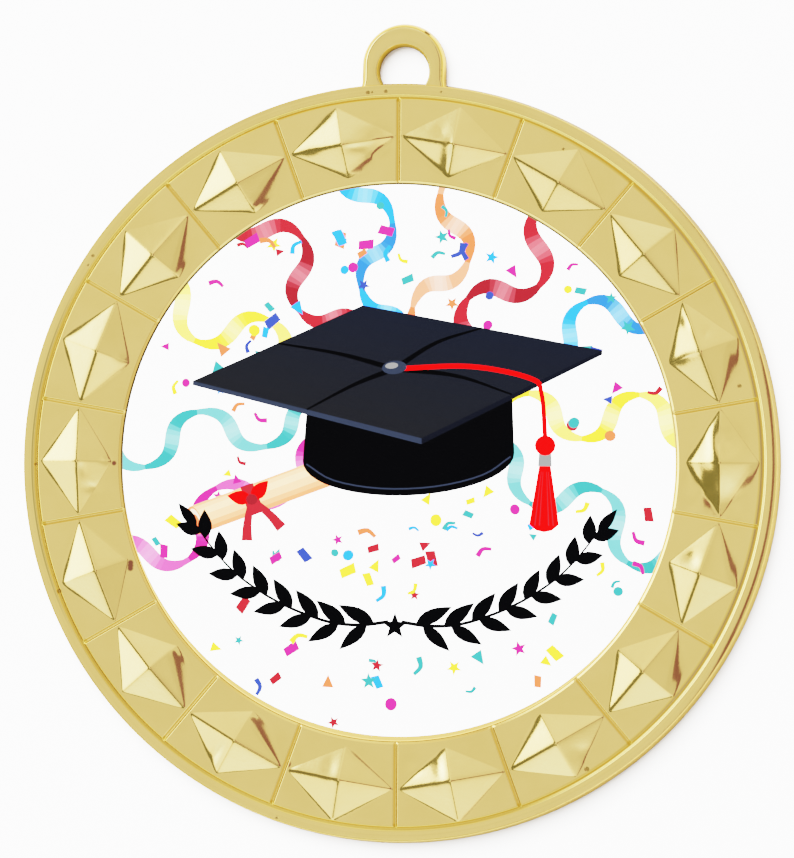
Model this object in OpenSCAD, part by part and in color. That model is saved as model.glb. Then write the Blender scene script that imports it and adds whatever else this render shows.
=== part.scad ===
// Award medal: a cast ring of faceted cells with a ribbon loop, and a printed disc in its recess.
// The medal lies on its flat back. The origin is the middle of the back, the face looks along +Z
// and the loop points along +Y. All sizes are in millimetres and all angles in degrees.

/* [Medal] */
// Outside diameter, across the foot of the side wall
medal_d = 69.8; // [66:0.2:90]
// Height of the flat floor between the facets, above the back
floor_h = 2.6; // [2.2:0.1:4]
// How far the side wall leans in from its foot to the front of the rim
wall_draft = 0.35; // [0.1:0.05:1]
// Width of the small bevel round the edge of the back
back_bevel = 0.15; // [0.05:0.05:0.3]

/* [Rim] */
// Width of the rounded band along the outer edge of the front
rim_w = 0.9; // [0.5:0.05:1.5]
// Rise of the middle of that band above its two edges
rim_crown = 0.08; // [0.04:0.01:0.3]
// Width of the ring groove inside the band
ring_groove_w = 0.45; // [0.2:0.05:0.8]
// Depth of the ring groove
ring_groove_depth = 0.35; // [0.1:0.05:0.6]

/* [Facets] */
// Number of cells round the ring
cells = 18; // [12:1:24]
// Turn of the cells from the middle of the loop, anticlockwise seen from the front
cell_turn = 0.6; // [0:0.1:10]
// Width of the radial groove between two cells
cell_groove_w = 0.45; // [0.2:0.05:0.8]
// Depth of the radial grooves
cell_groove_depth = 0.3; // [0.1:0.05:0.6]
// Height of each four-sided facet point above the flat floor
facet_h = 1.1; // [0.4:0.1:2]
// Flat left between the recess and the inner corner of the facets
facet_inner_gap = 0.8; // [0.2:0.05:1.2]
// Flat left between the outer corner of the facets and the ring groove
facet_outer_gap = 0.28; // [0.1:0.01:1]
// How far the apex lies inwards of the middle between the inner and the outer corner
facet_lean = 0.25; // [0:0.05:0.6]
// Flat left between a side corner of the facets and the radial groove
facet_side_gap = 0.05; // [0.05:0.05:0.5]

/* [Recess and insert] */
// Diameter of the printed disc
insert_d = 50.8; // [40:0.2:54]
// Thickness of the printed disc
insert_t = 0.5; // [0.3:0.1:1]
// Width of the bevel round the front edge of the printed disc
insert_bevel = 0.1; // [0.05:0.05:0.2]
// Clearance all round between the disc and the wall of the recess
insert_clearance = 0.15; // [0.05:0.05:0.4]
// Thickness of the glue film under the disc, which stays empty here
glue_film = 0.05; // [0.02:0.01:0.1]
// Depth of the recess below the flat floor
recess_depth = 0.8; // [0.7:0.1:1.4]
// Width of the sloping lip round the mouth of the recess
lip_w = 0.1; // [0.05:0.05:0.5]
// Depth of the sloping lip
lip_depth = 0.2; // [0.1:0.05:0.5]

/* [Ribbon loop] */
// Overall width of the loop, at its widest
loop_w = 7.75; // [6.5:0.05:10]
// Thickness of the loop, front to back
loop_t = 2.2; // [1.5:0.1:2.6]
// Height of the loop's round top centre above the foot of the side wall
loop_rise = 1.5; // [1:0.1:4]
// How far the outside of the loop leans in, from its middle to its front and back
loop_draft = 0.2; // [0.05:0.05:0.4]
// Width of the bevel round the front edge of the loop
loop_bevel = 0.25; // [0.05:0.05:0.4]
// Diameter of the ribbon hole, at its narrowest
hole_d = 4.5; // [3:0.1:5]
// Height of the centre of the hole above the foot of the side wall
hole_rise = 1; // [0.8:0.1:2]
// How far the wall of the hole widens, from its middle to its front and back
hole_draft = 0.12; // [0.05:0.01:0.3]

/* [Hidden] */

// Sides of the large circles and of the small ones
large_fn = 180;
small_fn = 72;
// Straight steps across the rounded band of the rim
crown_steps = 8;
// How far a cutting shape runs past what it cuts, and a joined shape runs into what it joins
overrun = 0.5;
// How far the facet points reach below the flat floor
facet_root = 0.02;

// Radii, from the outside of the medal inwards
back_r = medal_d / 2;
front_r = back_r - wall_draft;
band_r = front_r - rim_w;
cells_outer_r = band_r - ring_groove_w;
recess_r = insert_d / 2 + insert_clearance;
cells_inner_r = recess_r + lip_w;

// Heights above the back
recess_z = floor_h - recess_depth;
insert_z = recess_z + glue_film;
loop_mid_z = loop_t / 2;

// Corners of a facet point: along the radius, and across it at the foot of the ridge
facet_inner_r = cells_inner_r + facet_inner_gap;
facet_outer_r = cells_outer_r - facet_outer_gap;
facet_mid_r = (facet_inner_r + facet_outer_r) / 2 - facet_lean;
cell_angle = 360 / cells;
groove_edge = cell_groove_w / 2 / cos(cell_angle / 2);
facet_side = facet_mid_r * tan(cell_angle / 2) - groove_edge - facet_side_gap;

// Places of the ribbon loop along Y
loop_y = back_r + loop_rise;
hole_y = back_r + hole_rise;
loop_r = loop_w / 2;
hole_r = hole_d / 2;

// Half section of the medal without facets and grooves between cells: radius and height
function crown_point(u) = [
    front_r - rim_w * u,
    floor_h + rim_crown * (1 - pow(2 * u - 1, 2)),
];

function ring_section() = concat(
    [[0, 0], [back_r - back_bevel, 0], [back_r, back_bevel]],
    [for (i = [0:crown_steps]) crown_point(i / crown_steps)],
    [
        [band_r - ring_groove_w / 2, floor_h - ring_groove_depth],
        [cells_outer_r, floor_h],
        [cells_inner_r, floor_h],
        [recess_r, floor_h - lip_depth],
        [recess_r, recess_z],
        [0, recess_z],
    ]
);

// Half section of the outside of the loop: distance from its middle line and height
function loop_section() = [
    [0, 0],
    [loop_r - loop_draft, 0],
    [loop_r, loop_mid_z],
    [loop_r - loop_draft, loop_t - loop_bevel],
    [loop_r - loop_draft - loop_bevel, loop_t],
    [0, loop_t],
];

// Whole section across the two legs of the loop
function mirrored(p) = [-p[0], p[1]];

function leg_section() = concat(
    loop_section(),
    [for (i = [len(loop_section()) - 2:-1:1]) mirrored(loop_section()[i])]
);

// Half section of the ribbon hole, which is narrowest at mid thickness
function hole_section() = [
    [0, -overrun],
    [hole_r + hole_draft, -overrun],
    [hole_r + hole_draft, 0],
    [hole_r, loop_mid_z],
    [hole_r + hole_draft, loop_t],
    [hole_r + hole_draft, loop_t + overrun],
    [0, loop_t + overrun],
];

// One facet point. It runs on a little below the floor, at the same slopes, to join it cleanly
module facet_point() {
    spread = (facet_h + facet_root) / facet_h;
    outwards = facet_outer_r - facet_mid_r;
    inwards = facet_mid_r - facet_inner_r;
    corners = [[facet_side, 0], [0, outwards], [-facet_side, 0], [0, -inwards]];
    polyhedron(
        points = concat(
            [for (c = corners) [c[0] * spread, facet_mid_r + c[1] * spread, floor_h - facet_root]],
            [[0, facet_mid_r, floor_h + facet_h]]
        ),
        faces = concat([[0, 1, 2, 3]], [for (i = [0:3]) [i, 4, (i + 1) % 4]])
    );
}

// One V groove along the radius, from the lip of the recess to the ring groove
module cell_groove() {
    inner_end = recess_r - overrun;
    outer_end = band_r - ring_groove_w / 2;
    // The V runs on above the floor, at the same slope, so that the cut is clean
    translate([0, outer_end, floor_h])
        rotate([90, 0, 0])
            linear_extrude(outer_end - inner_end)
                polygon([
                    [0, -cell_groove_depth],
                    [cell_groove_w, cell_groove_depth],
                    [-cell_groove_w, cell_groove_depth],
                ]);
}

// The cast-on loop: a round top on two short legs that run down into the rim
module ribbon_loop() {
    leg_foot_y = front_r - loop_r;
    difference() {
        union() {
            translate([0, loop_y, 0])
                rotate_extrude($fn = small_fn)
                    polygon(loop_section());
            translate([0, loop_y, 0])
                rotate([90, 0, 0])
                    linear_extrude(loop_y - leg_foot_y)
                        polygon(leg_section());
        }
        translate([0, hole_y, 0])
            rotate_extrude($fn = small_fn)
                polygon(hole_section());
    }
}

module medal_body() {
    color([0.86, 0.79, 0.5])
        union() {
            difference() {
                union() {
                    rotate_extrude($fn = large_fn)
                        polygon(ring_section());
                    for (i = [0:cells - 1])
                        rotate([0, 0, cell_turn + (i + 0.5) * cell_angle])
                            facet_point();
                }
                for (i = [0:cells - 1])
                    rotate([0, 0, cell_turn + i * cell_angle])
                        cell_groove();
            }
            difference() {
                ribbon_loop();
                // The loop stops under the sloping side wall and never reaches the facets
                translate([0, 0, -overrun])
                    cylinder(h = loop_t + 2 * overrun, r = front_r - rim_w / 2, $fn = large_fn);
            }
        }
}

module insert_disc() {
    insert_r = insert_d / 2;
    color([0.97, 0.97, 0.96])
        translate([0, 0, insert_z])
            rotate_extrude($fn = large_fn)
                polygon([
                    [0, 0],
                    [insert_r, 0],
                    [insert_r, insert_t - insert_bevel],
                    [insert_r - insert_bevel, insert_t],
                    [0, insert_t],
                ]);
}

medal_body();
insert_disc();
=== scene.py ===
"""A cast award medal with a ring of faceted diamond points, a printed disc and a ribbon loop.

Sizes are in millimetres up to the point where a mesh is made, and in metres from there on. The medal
lies on its back on the floor: its face looks along +Z and its loop points along +Y. Cells and the
angles in tables count clockwise from the loop.
"""

from collections import Counter
from math import asin, atan2, cos, degrees, exp, hypot, log, pi, radians, sin, sqrt, tan, tau
import bmesh
import bpy
import numpy as np
from mathutils import Matrix, Vector
from mathutils.geometry import delaunay_2d_cdt


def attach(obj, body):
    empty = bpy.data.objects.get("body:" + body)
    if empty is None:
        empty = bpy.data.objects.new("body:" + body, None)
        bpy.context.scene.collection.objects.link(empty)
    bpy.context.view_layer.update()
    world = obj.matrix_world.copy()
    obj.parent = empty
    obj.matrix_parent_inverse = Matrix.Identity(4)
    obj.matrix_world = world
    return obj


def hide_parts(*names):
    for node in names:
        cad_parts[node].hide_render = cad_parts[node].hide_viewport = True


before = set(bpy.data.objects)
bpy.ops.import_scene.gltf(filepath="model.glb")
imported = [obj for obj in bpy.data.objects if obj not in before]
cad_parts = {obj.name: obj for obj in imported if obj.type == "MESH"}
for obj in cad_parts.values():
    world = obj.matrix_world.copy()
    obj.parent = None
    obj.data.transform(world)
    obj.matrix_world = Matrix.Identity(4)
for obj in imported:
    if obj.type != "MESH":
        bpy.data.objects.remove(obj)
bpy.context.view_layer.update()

MM = 0.001

# Outline of the casting
BACK_R = 34.9
FRONT_R = 34.55
FLOOR_Z = 2.6
BACK_BEVEL = 0.15
GROOVE_HALF = 0.225
GROOVE_DEPTH = 0.16
RIM_WIDTH = 0.9
RIM_RISE = 0.03
RIM_RISE_END = 0.5
RIM_FALL = 0.08
RIM_FALL_START = 0.42
RIM_WORN_AT = 98
RIM_WORN_REACH = 12
RIM_WORN_FADE = 16
RIM_LEAST_WEAR = 0.3
RING_GROOVE_R = FRONT_R - RIM_WIDTH - GROOVE_HALF

# Recess and printed disc, which lies on a film of glue
RECESS_R = 25.55
RECESS_DEPTH = 0.8
RECESS_Z = FLOOR_Z - RECESS_DEPTH
LIP_WIDTH = 0.2
LIP_DEPTH = 0.12
GLUE_FILM = 0.05
INSERT_CLEARANCE = 0.01
INSERT_THICKNESS = 0.5
INSERT_R = RECESS_R - INSERT_CLEARANCE
INSERT_BOTTOM = RECESS_Z + GLUE_FILM
INSERT_TOP = INSERT_BOTTOM + INSERT_THICKNESS
INSERT_BEVEL = 0.14
INSERT_SIDES = 240
# Bevel, edge and foot of the disc: radius and height
INSERT_EDGE = [
    (INSERT_R - 0.04, INSERT_TOP - 0.02),
    (INSERT_R, INSERT_TOP - 0.09),
    (INSERT_R, INSERT_BOTTOM + 0.03),
    (INSERT_R - 0.04, INSERT_BOTTOM),
]

# Cells and facet points
CELLS = 18
CELL_ANGLE = tau / CELLS
CELL_TURN = radians(0.6)
FACET_HEIGHT = 1.1
FACET_INNER_GAP = 0.82
FACET_OUTER_GAP = 0.22
FACET_LEAN = 0.24
FACET_INNER_R = RECESS_R + FACET_INNER_GAP
FACET_OUTER_R = RING_GROOVE_R - GROOVE_HALF - FACET_OUTER_GAP
FACET_MID_R = (FACET_INNER_R + FACET_OUTER_R) / 2 - FACET_LEAN
FACET_OUTWARDS = FACET_OUTER_R - FACET_MID_R
FACET_INWARDS = FACET_MID_R - FACET_INNER_R
GROOVE_EDGE = GROOVE_HALF / cos(CELL_ANGLE / 2)
FACET_OVERLAP = 0.03
FACET_SIDE = FACET_MID_R * tan(CELL_ANGLE / 2) - GROOVE_EDGE + FACET_OVERLAP

# Ribbon loop
LOOP_Y = BACK_R + 1.5
LOOP_R = 3.875
LOOP_THICKNESS = 2.2
LOOP_CROWN = 0.02
LOOP_COLUMNS = 120
LOOP_INNER_END = FRONT_R - 1.2
LOOP_FILLET = 0.08
LOOP_FILLET_FROM = BACK_R + 0.05
LOOP_FILLET_TO = BACK_R - 0.5
HOLE_Y = BACK_R + 1
HOLE_R = 2.25

# Rounding of edges, for the ridges as a share of the facets' half width and length
RIDGE_ROUND = 0.07 / 4.9
SIDE_RIDGE_ROUND = 0.1 / 3.2
GROOVE_ROUND = 0.02
EDGE_ROUND = 0.025

# The photo's view. The middle of the picture is a little above the middle of the medal
CAMERA_SIDE = radians(6)
CAMERA_BELOW = radians(1)
CAMERA_ROLL = radians(0.87)
CAMERA_DISTANCE = 0.4
CAMERA_RAISED = 0.00301
CAMERA_LENS = 183.78


def placed(name, data):
    """A new object in the scene."""
    item = bpy.data.objects.new(name, data)
    bpy.context.scene.collection.objects.link(item)
    return item


def polar(radius, turn):
    """A point by its radius and its angle clockwise from the loop."""
    return radius * sin(turn), radius * cos(turn)


# Smooth shapes


def soft_abs(value, radius):
    """The absolute value with its corner rounded."""
    return np.sqrt(value * value + radius * radius)


def soft_max(a, b, blend):
    """The larger of two heights, blended where they differ by less than blend."""
    h = np.clip(0.5 + 0.5 * (a - b) / blend, 0, 1)
    return b + (a - b) * h + blend * h * (1 - h)


def smooth_step(edge0, edge1, value):
    """Goes smoothly from 0 at edge0 to 1 at edge1."""
    t = np.clip((value - edge0) / (edge1 - edge0), 0, 1)
    return t * t * (3 - 2 * t)


def groove_depth(distance):
    """Depth of a V groove at a distance from its middle line. It is negative beyond the groove."""
    return GROOVE_DEPTH * (1 - soft_abs(distance, GROOVE_ROUND) / GROOVE_HALF)


# Width of the hollow at each facet's foot: outer facet clockwise and anticlockwise of the ridge, then
# inner facet clockwise and anticlockwise
FOOT_HOLLOW = [
    (0, 0, 0.25, 0.5), (0, 0, 0.15, 0.4), (0.25, 0, 0.15, 0.4),
    (1.5, 0, 0.2, 0.5), (1.1, 0, 0.5, 0.5), (0.15, 1, 0.4, 0),
    (0.15, 1.4, 0.4, 0), (0, 0.3, 0.5, 0), (0, 0, 0.4, 0),
    (0.15, 0, 0, 0.35), (0.45, 0.1, 0, 1.3), (0.15, 0.1, 0, 1.4),
    (0.4, 0.3, 0.15, 0.15), (0.3, 0.35, 0.15, 0), (0.5, 0.4, 0.3, 0.4),
    (0, 0.4, 1.15, 0.25), (0, 0.4, 1.5, 0.25), (0.1, 0.6, 1, 0.35),
]
HOLLOW_NONE = 0.004
HOLLOW_WIDE = 0.4
# Where the hollow is widest, from the side corner to the tip, and how sharply it narrows before that
OUTER_HOLLOW_PEAK = 0.7
INNER_HOLLOW_PEAK = 0.84
OUTER_HOLLOW_TAPER = 1.2
INNER_HOLLOW_TAPER = 0.7

# Dents and lumps left by the casting: degrees, radius, reach along and across the radius, and height
DENTS = [
    (8.6, 28.3, 1.2, 0.3, -0.11), (6.9, 30.4, 0.7, 0.5, -0.03), (17.6, 28.7, 0.35, 0.4, -0.05),
    (69.6, 28, 1, 0.25, -0.09), (66.6, 30.6, 0.3, 0.3, -0.03), (63.6, 29.2, 0.3, 0.6, -0.05),
    (85.9, 28.85, 0.45, 2, 0.09), (94, 27.9, 1.1, 1.6, 0.2), (107.4, 28.3, 0.6, 0.6, -0.06),
    (146.6, 31.2, 0.6, 0.8, -0.05), (171.3, 28.1, 0.9, 0.3, -0.1), (176, 28.3, 0.4, 0.6, -0.05),
    (198.4, 29.3, 0.35, 0.3, -0.05), (211.2, 31.6, 0.9, 0.25, -0.09), (191.5, 28.4, 0.9, 0.5, -0.04),
    (249.6, 32.6, 0.4, 0.4, -0.06), (268, 29, 0.4, 0.7, -0.06), (264.6, 28.4, 0.8, 0.3, -0.05),
    (289.6, 27.2, 0.5, 0.25, -0.07), (269.7, 26.9, 0.35, 0.3, -0.06), (351.6, 29, 0.3, 0.8, -0.06),
    (354.4, 28.3, 0.7, 0.4, -0.05), (344, 29.5, 0.25, 0.8, -0.03), (95.5, 30, 1.4, 1.4, -0.16),
    (85.5, 30, 1.2, 1.2, -0.13), (355.2, 29.3, 1, 1.3, -0.16),
]
# Cells whose outer tip reaches the ring groove, which cuts it blunt, and how far it reaches
BLUNT_CELLS = (8, 9)
BLUNT_REACH = 1.1


def dents_at(x, y, cell):
    """Sum of the dents of one cell."""
    total = np.zeros_like(x)
    for turn, radius, along, across, height in DENTS:
        local = radians(turn) + CELL_TURN - (cell + 0.5) * CELL_ANGLE
        if abs(local) < CELL_ANGLE / 2:
            px, py = polar(radius, local)
            total += height * np.exp(-(((x - px) / across) ** 2) - ((y - py) / along) ** 2)
    return total


def cell_height(x, y, cell):
    """Height of the casting's front at a point of one cell, where y runs along the cell's radius."""
    outer_cw, outer_ccw, inner_cw, inner_ccw = FOOT_HOLLOW[cell]
    clockwise = smooth_step(-0.5, 0.5, x)
    outer = outer_ccw + (outer_cw - outer_ccw) * clockwise
    inner = inner_ccw + (inner_cw - inner_ccw) * clockwise
    far = y > FACET_MID_R
    wide = np.where(far, outer, inner)
    outwards = FACET_OUTWARDS * (BLUNT_REACH if cell in BLUNT_CELLS else 1)
    up = (y - FACET_MID_R) / np.where(far, outwards, FACET_INWARDS)
    along = np.clip(np.abs(up), 0, 1.2)
    peak = np.where(far, OUTER_HOLLOW_PEAK, INNER_HOLLOW_PEAK)
    taper = along ** np.where(far, OUTER_HOLLOW_TAPER, INNER_HOLLOW_TAPER)
    hollow = HOLLOW_NONE + HOLLOW_WIDE * wide * taper * (1 - 0.85 * smooth_step(peak, 1.04, along))
    point = FACET_HEIGHT * (1 - soft_abs(x / FACET_SIDE, RIDGE_ROUND) - soft_abs(up, SIDE_RIDGE_ROUND))
    radius = np.hypot(x, y)
    # The feet fade out before the ring groove and before the lip of the recess
    inside = smooth_step(RECESS_R + 0.1, RECESS_R + 0.4, radius)
    inside *= smooth_step(RING_GROOVE_R - 0.05, RING_GROOVE_R - 0.4, radius)
    # The nearer of the two radial grooves of the cell
    off_groove = y * sin(CELL_ANGLE / 2) - np.abs(x) * cos(CELL_ANGLE / 2)
    dents = dents_at(x, y, cell) * smooth_step(0.2, 0.45, off_groove)
    raised = (soft_max(point, 0 * point, hollow) + dents) * inside
    cut = soft_max(groove_depth(off_groove), groove_depth(radius - RING_GROOVE_R), EDGE_ROUND)
    cut = soft_max(cut, LIP_DEPTH * (1 - (radius - RECESS_R) / LIP_WIDTH), EDGE_ROUND)
    return FLOOR_Z + raised - soft_max(cut, 0 * cut, EDGE_ROUND)


# Casting mesh: each quarter of a cell is one grid that follows its ridges, feet and grooves

# Places along the foot of a facet, from the radial ridge to the side ridge, close together at the
# ridges and in the middle, where the grooves meet
HALF_ALONG = [0, 0.01, 0.022, 0.04, 0.07, 0.12, 0.2, 0.27, 0.34, 0.42, 0.46, 0.485, 0.495]
ALONG = HALF_ALONG + [0.5] + [1 - s for s in reversed(HALF_ALONG)]
ARC_STEPS = [2 * s for s in HALF_ALONG] + [1]
# Places from the apex to the foot of the facet
DOWN = [0.03, 0.055, 0.09, 0.15, 0.24, 0.34, 0.45, 0.56, 0.67, 0.77, 0.85, 0.91, 0.95, 0.98, 0.994, 1]
# Places from the foot of the facet to the edge of the grooves
BEYOND = [0.012, 0.05, 0.1, 0.17, 0.27, 0.42, 0.7]
# Distances from the middle of the grooves, and from the wall of the recess
BESIDE_GROOVE = [0.29, 0.26, 0.235, 0.2, 0.16, 0.1, 0.05, 0.02, 0]
BESIDE_LIP = [0.34, 0.29, 0.25, 0.22, 0.2, 0.18, 0.14, 0.07, 0]


def cell_edge(outward, radial_off, arc_off):
    """The border of a quarter cell, moved inwards: along the arc, then along the radial groove."""
    arc_r = RING_GROOVE_R - arc_off if outward else RECESS_R + arc_off
    half = CELL_ANGLE / 2
    corner_angle = half - asin(radial_off / arc_r)
    arc = [polar(arc_r, s * corner_angle) for s in ARC_STEPS]
    middle = (FACET_MID_R * tan(half) - radial_off / cos(half), FACET_MID_R)
    radial = [[b + (a - b) * s for a, b in zip(arc[-1], middle)] for s in reversed(ARC_STEPS[:-1])]
    return np.array(arc + radial)


def quarter_points(outward):
    """Plan of a quarter cell, rows from the facet's apex to the border."""
    apex = np.array([0, FACET_MID_R])
    tip = np.array([0, FACET_OUTER_R if outward else FACET_INNER_R])
    side = np.array([FACET_SIDE, FACET_MID_R])
    foot = np.array([tip + (side - tip) * s for s in ALONG])
    rows = [apex + (foot - apex) * t for t in DOWN]
    arc_offs = BESIDE_GROOVE if outward else BESIDE_LIP
    borders = [cell_edge(outward, r, a) for r, a in zip(BESIDE_GROOVE, arc_offs)]
    rows += [foot + (borders[0] - foot) * t for t in BEYOND]
    return apex, np.array(rows + borders)


class MeshParts:
    """Collects vertices and faces, in millimetres."""

    def __init__(self):
        self.vertices = []
        self.faces = []

    def add(self, points):
        start = len(self.vertices)
        self.vertices.extend([tuple(p) for p in points])
        return start

    def grid(self, points, flip=False, closed=False):
        """Points as rows x columns x 3. A closed grid joins its last column to its first."""
        rows, columns = points.shape[:2]
        start = self.add(points.reshape(-1, 3))
        for row in range(start, start + (rows - 1) * columns, columns):
            for j in range(columns if closed else columns - 1):
                k = (j + 1) % columns
                quad = [row + j, row + k, row + columns + k, row + columns + j]
                self.faces.append(quad[::-1] if flip else quad)
        return start

    def fan(self, centre, ring, flip=False):
        """Triangles from a centre to a ring of points that is open."""
        start = self.add([centre] + list(ring))
        for j in range(1, len(ring)):
            face = [start, start + j, start + j + 1]
            self.faces.append(face[::-1] if flip else face)

    def build(self, name, weld):
        mesh = bpy.data.meshes.new(name)
        mesh.from_pydata([(x * MM, y * MM, z * MM) for x, y, z in self.vertices], [], self.faces)
        work = bmesh.new()
        work.from_mesh(mesh)
        bmesh.ops.remove_doubles(work, verts=work.verts, dist=weld * MM)
        bmesh.ops.recalc_face_normals(work, faces=work.faces)
        work.to_mesh(mesh)
        work.free()
        mesh.shade_smooth()
        return placed(name, mesh)


def turned(points, angle):
    """Points turned anticlockwise about the medal's axis."""
    points = np.array(points, float)
    x, y = points[..., 0].copy(), points[..., 1].copy()
    points[..., 0] = x * cos(angle) - y * sin(angle)
    points[..., 1] = x * sin(angle) + y * cos(angle)
    return points


def cell_direction(cell):
    """Turn that takes +Y to the middle of a cell."""
    return CELL_TURN - (cell + 0.5) * CELL_ANGLE


def add_cells(parts):
    for outward in (True, False):
        apex, plan = quarter_points(outward)
        for cell in range(CELLS):
            for side in (1, -1):
                flat = plan * np.array([side, 1])
                z = cell_height(flat[..., 0], flat[..., 1], cell)
                grid = turned(np.dstack([flat, z]), cell_direction(cell))
                top = cell_height(np.array([apex[0]]), np.array([apex[1]]), cell)[0]
                centre = turned((*apex, top), cell_direction(cell))
                flip = (side == 1) == outward
                parts.grid(grid, flip=flip)
                parts.fan(centre, grid[0], flip=flip)


def ring_angles():
    """Angles of the cell grids where they reach the ring groove and the recess, clockwise."""
    arc = [s * CELL_ANGLE / 2 for s in ARC_STEPS]
    one = sorted([-a for a in arc[1:]] + arc)[:-1]
    return [cell * CELL_ANGLE + a for cell in range(CELLS) for a in one]


def rim_wear(turn):
    """How much the outer half of the rim is worn down, at an angle in degrees."""
    off = abs((turn - RIM_WORN_AT + 180) % 360 - 180)
    worn = smooth_step(RIM_WORN_REACH + RIM_WORN_FADE, RIM_WORN_REACH, off)
    return RIM_LEAST_WEAR + (1 - RIM_LEAST_WEAR) * worn


# Distances from the middle of the ring groove outwards, and places across the rim's band
OUT_OF_GROOVE = [0, 0.02, 0.05, 0.1, 0.16, 0.2, 0.225, 0.25, 0.28]
ACROSS_BAND = [0.1, 0.18, 0.28, 0.38, 0.46, 0.54, 0.62, 0.7, 0.78, 0.86, 0.92, 0.97]
# The rim's rounded front edge, as steps outwards and down, and places down the side wall
RIM_EDGE = [(-0.005, 0.012), (0.02, 0.035), (0.04, 0.075), (0.05, 0.13)]
DOWN_WALL = [0.15, 0.35, 0.6, 0.85, 1]


def rim_profile():
    """Section outside the ring groove: radius, height and wear, from the groove to the back."""
    profile = []
    for d in OUT_OF_GROOVE + [GROOVE_HALF + RIM_WIDTH * t for t in ACROSS_BAND]:
        t = max(0, d - GROOVE_HALF) / RIM_WIDTH
        # The band rises from the groove, is level in its middle and falls away towards the edge
        rise = RIM_RISE * smooth_step(0, RIM_RISE_END, t)
        fall = RIM_FALL * max(0, (t - RIM_FALL_START) / (1 - RIM_FALL_START)) ** 2
        cut = groove_depth(np.array(d))
        z = float(FLOOR_Z + rise - soft_max(cut, 0 * cut, EDGE_ROUND))
        profile.append((RING_GROOVE_R + d, z, fall))
    # Rounded front edge, side wall and bevelled foot
    profile += [(FRONT_R + out, z - down, fall) for out, down in RIM_EDGE]
    r0, z0, _ = profile[-1]
    for t in DOWN_WALL:
        profile.append((r0 + (BACK_R - r0) * t, z0 + (BACK_BEVEL - z0) * t, fall * (1 - t)))
    profile += [(BACK_R - 0.04, 0.07, 0), (BACK_R - BACK_BEVEL, 0, 0), (30, 0, 0), (15, 0, 0)]
    return profile


def add_ring(parts, profile, centre_z, flip):
    """Revolves a profile at the cells' own angles and closes it to a point on the axis.

    The first row takes its heights from the cells. The last number of a point is its wear.
    """
    angles = ring_angles()
    worn = [rim_wear(degrees(a - cell_direction(0))) for a in angles]
    grid = np.array([
        [(*polar(r, a), z - low * wear) for a, wear in zip(angles, worn)]
        for r, z, low in profile
    ])
    for j in range(len(angles)):
        local = (angles[j] + CELL_ANGLE / 2) % CELL_ANGLE - CELL_ANGLE / 2
        x, y = polar(profile[0][0], local)
        grid[0, j, 2] = cell_height(np.array([x]), np.array([y]), 0)[0]
    grid = turned(grid, cell_direction(0))
    parts.grid(grid, flip=flip, closed=True)
    last = list(grid[-1]) + [grid[-1][0]]
    parts.fan((0, 0, centre_z), last, flip=not flip)


def recess_profile():
    side = [(RECESS_R, FLOOR_Z - LIP_DEPTH - step, 0) for step in (0, 0.2, 0.6)]
    return side + [(RECESS_R - 0.06, RECESS_Z, 0), (22, RECESS_Z, 0), (11, RECESS_Z, 0)]


def casting_mesh():
    parts = MeshParts()
    add_cells(parts)
    add_ring(parts, rim_profile(), 0, True)
    add_ring(parts, recess_profile(), RECESS_Z, False)
    return parts.build("casting_ring", 0.0008)


# Ribbon loop


def loop_width(y):
    """Half width of the loop's outline: a round top on straight legs with small fillets."""
    if y > LOOP_Y:
        return sqrt(max(LOOP_R**2 - (y - LOOP_Y) ** 2, 0))
    return LOOP_R + LOOP_FILLET * smooth_step(LOOP_FILLET_FROM, LOOP_FILLET_TO, y)


def loop_reach(angle):
    """Distance from the middle of the hole to the loop's outline, at an angle."""
    dx, dy = sin(angle), cos(angle)
    near, far = HOLE_R, 8
    for _ in range(40):
        middle = (near + far) / 2
        x, y = middle * dx, HOLE_Y + middle * dy
        inside = y < LOOP_Y + LOOP_R and abs(x) <= loop_width(y) and hypot(x, y) > LOOP_INNER_END
        near, far = (middle, far) if inside else (near, middle)
    return near


# Section through the loop's band: how far in from the outline or out from the hole, and the height
OUTSIDE = [
    (0, 1.1), (0.09, 1.55), (0.16, 1.86), (0.2, 1.95), (0.27, 2.04),
    (0.36, 2.12), (0.44, 2.17), (0.52, 2.195), (0.58, 2.2),
]
INSIDE = [(0.26, 2.2), (0.21, 2.192), (0.175, 2.165), (0.15, 2.12), (0.12, 2), (0.06, 1.6), (0, 1.1)]
INSIDE_BACK = [(0.07, 0.5), (0.12, 0.08), (0.2, 0)]
OUTSIDE_BACK = [(0.28, 0), (0.2, 0.08), (0.1, 0.6)]


def loop_mesh():
    parts = MeshParts()
    columns = []
    for i in range(LOOP_COLUMNS):
        a = tau * i / LOOP_COLUMNS
        reach = loop_reach(a)
        column = [(reach - d, z) for d, z in OUTSIDE]
        wide, narrow = column[-1][0], HOLE_R + INSIDE[0][0]
        for t in (0.25, 0.5, 0.75):
            crown = LOOP_THICKNESS + LOOP_CROWN * sin(pi * t)
            column.append((wide + (narrow - wide) * t, crown))
        column += [(HOLE_R + d, z) for d, z in INSIDE + INSIDE_BACK]
        column += [(reach - d, z) for d, z in OUTSIDE_BACK]
        column.append(column[0])
        columns.append([(r * sin(a), HOLE_Y + r * cos(a), z) for r, z in column])
    parts.grid(np.array(columns).transpose(1, 0, 2), closed=True)
    return parts.build("casting_loop", 0.0005)


def joined(base, other):
    """One solid from two that overlap."""
    merge = base.modifiers.new("merge", "BOOLEAN")
    merge.operation = "UNION"
    merge.solver = "MANIFOLD"
    merge.object = other
    graph = bpy.context.evaluated_depsgraph_get()
    mesh = bpy.data.meshes.new_from_object(base.evaluated_get(graph))
    base.modifiers.clear()
    base.data = mesh
    bpy.data.objects.remove(other)
    return base


# Printed disc: its face is one flat sheet of triangles that follows the outlines of the printed shapes

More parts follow.
